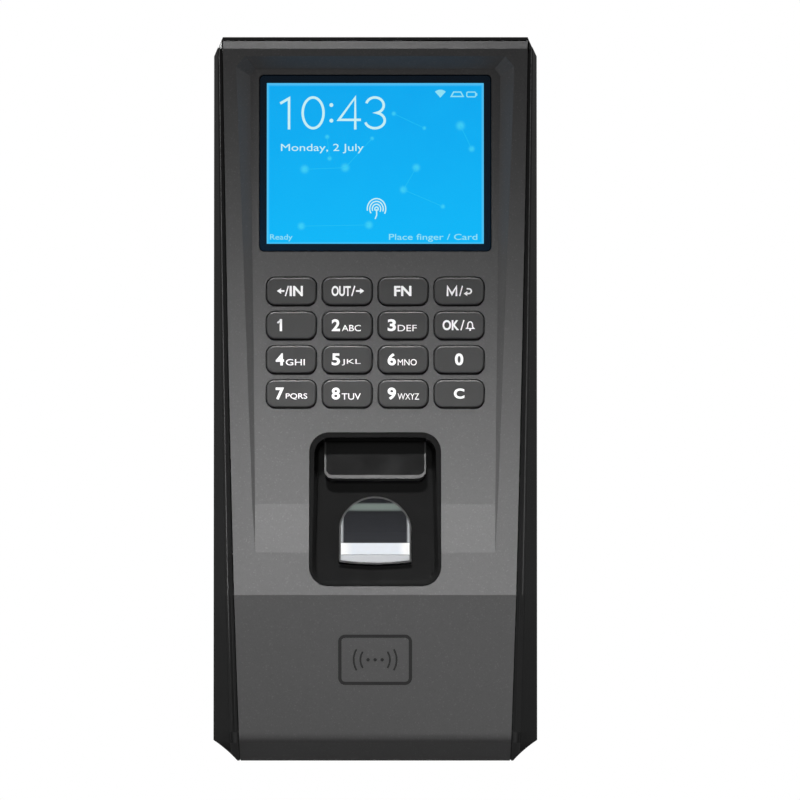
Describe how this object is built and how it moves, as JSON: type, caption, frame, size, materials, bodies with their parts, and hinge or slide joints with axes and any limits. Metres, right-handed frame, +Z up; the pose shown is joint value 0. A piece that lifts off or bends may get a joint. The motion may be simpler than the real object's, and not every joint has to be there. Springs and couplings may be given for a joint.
{
  "type": "fingerprint scanner terminal",
  "caption": "Wall-mounted door terminal with a colour screen, a number keypad, a sunk fingerprint sensor and a card reading field",
  "frame": {"origin": "on the wall plane, at the middle of the wall plate's rear face", "axes": "+Z up, +Y into the wall, the front faces -Y"},
  "size_m": [0.0808, 0.0397, 0.18],
  "materials": {
    "panel_plastic": "dark grey plastic with a fine metallic fleck",
    "frame_gloss": "polished black plastic",
    "cover_plastic": "fine-grained black plastic",
    "plate_steel": "zinc-plated sheet steel",
    "lens_glass": "clear glass with a black printed border",
    "foam_black": "black foam tape",
    "display_glass": "lit display",
    "tray_metal": "thin pressed metal",
    "backlight_white": "white light guide",
    "film_amber": "amber flexible film",
    "key_plastic": "dark grey plastic with white legends",
    "silicone_grey": "grey silicone",
    "board_green": "green solder mask",
    "window_smoke": "smoked translucent plastic",
    "trim_grey": "grey satin trim",
    "lamp_resin": "clear lamp resin",
    "sensor_black": "black glass-filled plastic",
    "prism_glass": "dark optical glass",
    "light_white": "white lit diffuser",
    "lip_grey": "light grey satin plastic",
    "copper": "bare copper track",
    "chip_black": "black moulded packages",
    "can_metal": "tinned steel",
    "relay_blue": "blue plastic relay case",
    "socket_black": "black nylon",
    "terminal_green": "green nylon terminal body",
    "screw_steel": "plated steel",
    "flap_rubber": "black rubber",
    "speaker_black": "black basket and cone",
    "battery_metal": "nickel-plated steel",
    "button_white": "white acetal"
  },
  "bodies": {
    "terminal": {"front_panel": "panel_plastic", "side_frame": "frame_gloss", "bay_bezel": "frame_gloss", "rear_cover": "cover_plastic", "wall_plate": "plate_steel", "screen_lens": "lens_glass", "lens_gasket": "foam_black", "lcd_glass": "display_glass", "lcd_tray": "tray_metal", "lcd_backlight": "backlight_white", "lcd_ribbon": "film_amber", "keypad_ribbon": "film_amber", "sensor_cable": "film_amber", "keypad_mat": "silicone_grey", "keypad_board": "board_green", "indicator_board": "board_green", "sensor_board": "board_green", "card_antenna_board": "board_green", "main_board": "board_green", "indicator_window": "window_smoke", "indicator_trim": "trim_grey", "indicator_lamps": "lamp_resin", "sensor_case": "sensor_black", "sensor_lens_barrel": "sensor_black", "sensor_prism": "prism_glass", "sensor_light_bar": "light_white", "sensor_lip": "lip_grey", "card_antenna_coil": "copper", "main_chips": "chip_black", "shield_can": "can_metal", "usb_port": "can_metal", "door_relay": "relay_blue", "network_socket": "socket_black", "tamper_switch": "socket_black", "battery_holder": "socket_black", "wiring_terminals": "terminal_green", "terminal_screws": "screw_steel", "board_screws": "screw_steel", "case_screws": "screw_steel", "lock_screw": "screw_steel", "speaker": "speaker_black", "backup_battery": "battery_metal"},
    "key_in": {"key_in": "key_plastic"},
    "key_out": {"key_out": "key_plastic"},
    "key_fn": {"key_fn": "key_plastic"},
    "key_menu": {"key_menu": "key_plastic"},
    "key_1": {"key_1": "key_plastic"},
    "key_2": {"key_2": "key_plastic"},
    "key_3": {"key_3": "key_plastic"},
    "key_ok": {"key_ok": "key_plastic"},
    "key_4": {"key_4": "key_plastic"},
    "key_5": {"key_5": "key_plastic"},
    "key_6": {"key_6": "key_plastic"},
    "key_0": {"key_0": "key_plastic"},
    "key_7": {"key_7": "key_plastic"},
    "key_8": {"key_8": "key_plastic"},
    "key_9": {"key_9": "key_plastic"},
    "key_clear": {"key_clear": "key_plastic"},
    "usb_cover": {"usb_cover": "flap_rubber"},
    "tamper_button": {"tamper_button": "button_white"}
  },
  "joints": [
    {"name": "key_in_press", "type": "slide", "parent": "terminal", "child": "key_in", "axis": [0, 0.9952, -0.0977], "range_m": [0, 0.0007], "stiffness_N_per_m": 400},
    {"name": "key_out_press", "type": "slide", "parent": "terminal", "child": "key_out", "axis": [0, 0.9952, -0.0977], "range_m": [0, 0.0007], "stiffness_N_per_m": 400},
    {"name": "key_fn_press", "type": "slide", "parent": "terminal", "child": "key_fn", "axis": [0, 0.9952, -0.0977], "range_m": [0, 0.0007], "stiffness_N_per_m": 400},
    {"name": "key_menu_press", "type": "slide", "parent": "terminal", "child": "key_menu", "axis": [0, 0.9952, -0.0977], "range_m": [0, 0.0007], "stiffness_N_per_m": 400},
    {"name": "key_1_press", "type": "slide", "parent": "terminal", "child": "key_1", "axis": [0, 0.9952, -0.0977], "range_m": [0, 0.0007], "stiffness_N_per_m": 400},
    {"name": "key_2_press", "type": "slide", "parent": "terminal", "child": "key_2", "axis": [0, 0.9952, -0.0977], "range_m": [0, 0.0007], "stiffness_N_per_m": 400},
    {"name": "key_3_press", "type": "slide", "parent": "terminal", "child": "key_3", "axis": [0, 0.9952, -0.0977], "range_m": [0, 0.0007], "stiffness_N_per_m": 400},
    {"name": "key_ok_press", "type": "slide", "parent": "terminal", "child": "key_ok", "axis": [0, 0.9952, -0.0977], "range_m": [0, 0.0007], "stiffness_N_per_m": 400},
    {"name": "key_4_press", "type": "slide", "parent": "terminal", "child": "key_4", "axis": [0, 0.9952, -0.0977], "range_m": [0, 0.0007], "stiffness_N_per_m": 400},
    {"name": "key_5_press", "type": "slide", "parent": "terminal", "child": "key_5", "axis": [0, 0.9952, -0.0977], "range_m": [0, 0.0007], "stiffness_N_per_m": 400},
    {"name": "key_6_press", "type": "slide", "parent": "terminal", "child": "key_6", "axis": [0, 0.9952, -0.0977], "range_m": [0, 0.0007], "stiffness_N_per_m": 400},
    {"name": "key_0_press", "type": "slide", "parent": "terminal", "child": "key_0", "axis": [0, 0.9952, -0.0977], "range_m": [0, 0.0007], "stiffness_N_per_m": 400},
    {"name": "key_7_press", "type": "slide", "parent": "terminal", "child": "key_7", "axis": [0, 0.9952, -0.0977], "range_m": [0, 0.0007], "stiffness_N_per_m": 400},
    {"name": "key_8_press", "type": "slide", "parent": "terminal", "child": "key_8", "axis": [0, 0.9952, -0.0977], "range_m": [0, 0.0007], "stiffness_N_per_m": 400},
    {"name": "key_9_press", "type": "slide", "parent": "terminal", "child": "key_9", "axis": [0, 0.9952, -0.0977], "range_m": [0, 0.0007], "stiffness_N_per_m": 400},
    {"name": "key_clear_press", "type": "slide", "parent": "terminal", "child": "key_clear", "axis": [0, 0.9952, -0.0977], "range_m": [0, 0.0007], "stiffness_N_per_m": 400},
    {"name": "tamper_press", "type": "slide", "parent": "terminal", "child": "tamper_button", "axis": [0, -1, 0], "range_m": [0, 0.0008], "stiffness_N_per_m": 300},
    {"name": "usb_cover_hinge", "type": "hinge", "parent": "terminal", "child": "usb_cover", "pos_m": [0.00455, -0.01205, -0.08925], "axis": [0, 1, 0], "range_deg": [0, 100]}
  ]
}
